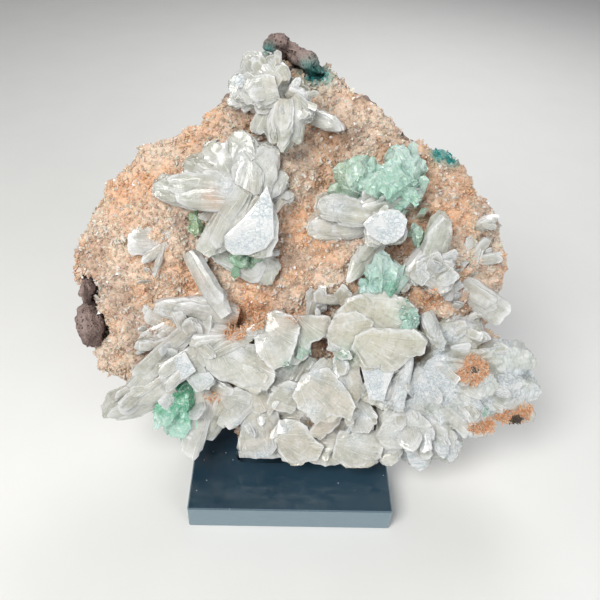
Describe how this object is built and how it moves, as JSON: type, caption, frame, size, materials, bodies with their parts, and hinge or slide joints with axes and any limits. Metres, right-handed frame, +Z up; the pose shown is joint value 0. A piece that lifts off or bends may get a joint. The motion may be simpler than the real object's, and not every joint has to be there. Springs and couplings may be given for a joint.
{
  "type": "apophyllite and stilbite mineral cluster on a display block",
  "caption": "Slab of basalt coated with peach druse, overgrown by white stilbite sheaves and green apophyllite crystals, leaning back in a slotted acrylic display block.",
  "frame": {"origin": "centre of the display block's underside", "axes": "+Z up, +X to the right and +Y to the back as the specimen's crystal front is seen; the slab leans back towards +Y"},
  "size_m": [0.1847, 0.0971, 0.1664],
  "materials": {
    "acrylic": "polished dark top, paler sawn edges",
    "basalt": "rough and pitted",
    "druse": "coated with small glinting crystals",
    "stilbite": "translucent, pearly on the broad faces",
    "apophyllite": "translucent, glassy"
  },
  "bodies": {
    "root": {"apophyllite_below_sheaf": "apophyllite", "apophyllite_centre": "apophyllite", "apophyllite_centre_right": "apophyllite", "apophyllite_lower_left": "apophyllite", "apophyllite_slender": "apophyllite", "apophyllite_small_right": "apophyllite", "apophyllite_under_sheaf": "apophyllite", "apophyllite_upper_right": "apophyllite", "basalt_slab": "basalt", "display_block": "acrylic", "peach_druse": "druse", "stilbite_column": "stilbite", "stilbite_crossed_blades": "stilbite", "stilbite_edge_blade": "stilbite", "stilbite_left_sheaf": "stilbite", "stilbite_left_tablet": "stilbite", "stilbite_lower_left": "stilbite", "stilbite_lower_mass": "stilbite", "stilbite_mid_blade": "stilbite", "stilbite_right_lobe": "stilbite", "stilbite_right_prism": "stilbite", "stilbite_right_sheaf": "stilbite", "stilbite_top_rosette": "stilbite", "stilbite_top_single": "stilbite", "stilbite_yellow_rosette": "stilbite"}
  },
  "joints": []
}
